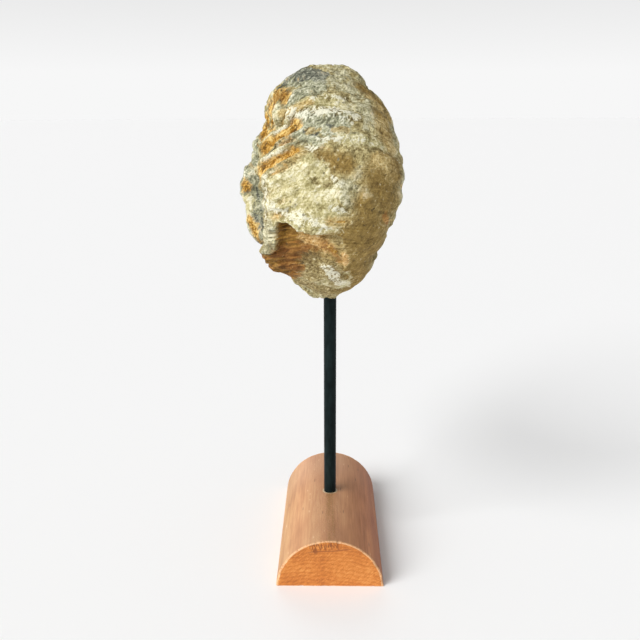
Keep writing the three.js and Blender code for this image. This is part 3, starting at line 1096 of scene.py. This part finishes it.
# The wood's look. Shades are its colours along the block and on its sawn ends, where the grain is
# darkest, middling and palest; marks are those of its single kinds of mark
wood = {
    "shades": {
        "long": ((180, 124, 84), (212, 156, 110), (232, 184, 134)),
        "end": ((168, 92, 30), (206, 124, 48), (230, 160, 84)),
    },
    "marks": {
        "back": (216, 176, 150),
        "saw": (134, 70, 24),
        "crack": (150, 80, 30),
        "pore": (236, 204, 166),
        "nick": (120, 80, 52),
        "rub": (244, 200, 152),
        "halo": (214, 196, 160),
        "streak": (150, 108, 62),
    },
    "stain": (  # how a stain, and painted shade at the right, darken the block from left to right: x, what it leaves
        (-27, (228, 228, 214)), (-19, (246, 246, 246)), (-8, (228, 222, 220)), (5, (230, 228, 230)),
        (13, (230, 218, 208)), (23, (242, 212, 188)), (26, (206, 166, 142)),
    ),
    "ringWidth": 2.4,
    "ringBend": 0.004,  # how they curve down to both sides
    "ringTilt": 0.05,
    "sawFrom": 23.0,  # saw marks: how far from the arc's axis they begin
    "sawMiddle": -3.0,
    "sawHalfWidth": 10.5,
    "crackHeight": 22.4,
    "crackTilt": 0.09,
    "crackReach": 15.0,
    "crackWidth": 0.6,
    "haloRadius": 5.2,
    "streakWidth": 3.2,
    "roughness": 0.74,
    "bump": 0.14,
}


def woodFinish():
    # wood along the block, with threads drawn out along it and a stain that changes across it, with
    # painted shade on its right-hand side, and end grain with rings, saw marks and a crack; then
    # pores, nicks, rubbed edges, a pale halo round the rod and a dirty streak in front of it
    finish = Finish("reddish wood")

    def grain(name, tone, places):
        # a palette read by a tone, its shades at the given places
        return finish.stops(tone, *zip(places, (colour(*tint) for tint in wood["shades"][name])))

    def marked(shade, name, share):
        # the colour of one kind of mark over the shade
        return finish.mix(shade, colour(*wood["marks"][name]), share)

    x, y, z = (part / mm for part in finish.axes(finish.place, "XYZ"))
    atEnd = (y.math("ABSOLUTE") - (halfLength - 1)).ramp(0, 0.35)
    fibres = finish.noise(0.5, 4, 0.65, (1, 30, 1), 0.1)
    threads = finish.noise(1.6, 3, 0.6, (1, 26, 1), 0.2)
    clouds = finish.noise(15, 4, 0.5, (1, 3.5, 1))
    dots = finish.noise(0.6, 3, 0.65)
    ticks = finish.noise(0.9, 3, 0.6, (1, 1, 4), 0.3, (0, 48, 0))
    wander = finish.noise(11, 3, 0.5, (1, 6, 1))
    layer = z + x * x * wood["ringBend"] + x * wood["ringTilt"] + wander * 5
    ring = (layer / wood["ringWidth"]).math("FRACT")
    late = ring.ramp(0.3, 0.9) * (1 - ring.ramp(0.9, 1))
    longTone = fibres * 0.2 + threads * 0.25 + clouds * 0.55
    longWood = grain("long", longTone, (0.36, 0.5, 0.64))
    longWood = marked(longWood, "back", y.ramp(2, 40) * 0.3)
    # painted shade: besides tinting the block, the stain's colours darken its right-hand side, most at its
    # edge
    fromLeft = (x + (clouds - 0.5) * 4) / (2 * halfWidth) + 0.5
    stainAndShade = [(place / (2 * halfWidth) + 0.5, colour(*tint)) for place, tint in wood["stain"]]
    longWood = finish.mix(longWood, finish.stops(fromLeft, *stainAndShade), 1, "MULTIPLY")
    endTone = ticks * 0.4 + dots * 0.35 + clouds * 0.3 - late * 0.06
    endWood = grain("end", endTone, (0.36, 0.52, 0.66))
    up = z - arcAxis
    arc = (x * x + up * up).math("SQRT")
    under = (arc - wood["sawFrom"] + (wander - 0.5) * 8).ramp(0, 3)
    under = under * (wood["sawHalfWidth"] - (x - wood["sawMiddle"]).math("ABSOLUTE")).ramp(0, 4)
    cuts = finish.noise(1.1, 3, 0.6, (1, 1, 4), 0.5, (0, -12, 0))
    sawn = under * cuts.ramp(0.46, 0.58)
    endWood = marked(endWood, "saw", sawn * 0.85)
    crack = (z - wood["crackHeight"] - x * wood["crackTilt"] - (wander - 0.5) * 3).math("ABSOLUTE")
    crack = (wood["crackWidth"] - crack).ramp(0, 0.5) * (wood["crackReach"] - x.math("ABSOLUTE")).ramp(0, 6)
    endWood = marked(endWood, "crack", crack * 0.75)
    shade = finish.mix(longWood, endWood, atEnd)
    pores = (0.12 - finish.cells(2.6, (1, 5, 1))).ramp(0, 0.05) * (1 - atEnd) * clouds.ramp(0.45, 0.6)
    shade = marked(shade, "pore", pores * 0.6)
    nicks = (0.1 - finish.cells(3.7, (1, 7, 1))).ramp(0, 0.04) * (1 - atEnd)
    shade = marked(shade, "nick", nicks * 0.6)
    rub = (finish.field("edge") - 0.3).ramp(0, 0.6) * (fibres * 0.6 + dots).ramp(0.55, 0.85)
    shade = marked(shade, "rub", rub * 0.75)
    beyond = y - rodCentre[1]
    fromRod = (x * x + beyond * beyond).math("SQRT")
    halo = (wood["haloRadius"] - fromRod - dots * 0.8).ramp(0, 0.5)
    shade = marked(shade, "halo", halo * 0.7)
    streak = (wood["streakWidth"] - (x + (clouds - 0.5) * 16).math("ABSOLUTE")).ramp(0, 2.5)
    streak = streak * (2 - y).ramp(0, 6) * (1 - atEnd) * (dots + threads - 0.7).ramp(0.15, 0.45)
    shade = marked(shade, "streak", streak * 0.75)
    finish.set("Base Color", shade)
    finish.set("Roughness", wood["roughness"] - fibres * 0.25)
    height = fibres * 0.6 + threads * 0.3 - nicks * 0.5
    height = height + (dots * 0.7 + ticks * 0.6) * atEnd - (sawn + crack) * 0.8
    finish.set("Normal", finish.bump(height, wood["bump"]))
    return finish.material


basePiece = makeBase()
chamfer, above = base["chamfer"], drill["above"]
baseHole = (
    (holeRadius, rodLow[2] - drill["clearance"]),
    (holeRadius, baseHeight - chamfer),
    (holeRadius + chamfer + above, baseHeight + above),
)
cut(basePiece, turned("drill", baseHole, rodCentre, drill["baseSides"]), "EXACT")
dress(basePiece, woodFinish(), "base")
print("base made:", len(basePiece.data.polygons), "faces")

# The studio: a pale floor under a bright sky, with a soft main light from the front left
studio = {
    "floorReach": 30.0,  # metres
    "floor": 0.94,
    "keyStrength": 3.05,
    "keyFrom": (-0.7, -0.52, 0.62),
    "keySoftness": 38.0,
    "backStrength": 0.35,
    "backFrom": (-0.2, 0.9, 0.6),
    "backSoftness": 30.0,
    "horizon": 0.93,
    "zenith": 0.28,
    "shade": 0.85,  # how bright the right-hand side is beside the left
}


def addFloor():
    # a wide level square under the base
    reach = studio["floorReach"]
    corners = [(-reach, -reach, 0), (reach, -reach, 0), (reach, reach, 0), (-reach, reach, 0)]
    mesh = bpy.data.meshes.new("floor")
    mesh.from_pydata(corners, [], [(0, 1, 2, 3)])
    floor = bpy.data.objects.new("floor", mesh)
    bpy.context.scene.collection.objects.link(floor)
    finish = Finish("pale floor")
    finish.set("Base Color", grey(studio["floor"]))
    finish.set("Roughness", 1.0)
    mesh.materials.append(finish.material)


def addSun(name):
    # a sun whose own Z axis points back to where its light comes from
    data = bpy.data.lights.new(name, "SUN")
    data.energy = studio[name + "Strength"]
    data.angle = np.radians(studio[name + "Softness"])
    lamp = bpy.data.objects.new(name, data)
    back = np.array(studio[name + "From"]) / np.linalg.norm(studio[name + "From"])
    right = np.cross([0, 0, 1], back)
    right /= np.linalg.norm(right)
    lamp.matrix_world = Matrix(np.stack([right, np.cross(back, right), back], 1).tolist()).to_4x4()
    bpy.context.scene.collection.objects.link(lamp)


def addSky():
    # bright at the horizon and darker overhead, and dimmed towards the right-hand side
    world = bpy.data.worlds.new("studio")
    bpy.context.scene.world = world
    world.use_nodes = True
    sky = Nodes(world.node_tree)
    across, up = sky.axes(sky.node("ShaderNodeTexCoord", output="Generated"), "XZ")
    background = sky.tree.nodes["Background"].inputs
    glow = sky.stops(up, (0.05, grey(studio["horizon"])), (0.6, grey(studio["zenith"])))
    sky.feed(background["Color"], glow)
    sky.feed(background["Strength"], across.ramp(0.35, 0.85, 1.0, studio["shade"]))


addFloor()
addSun("key")
addSun("back")
addSky()
bpy.context.scene.view_settings.view_transform = "Standard"
print("studio set")
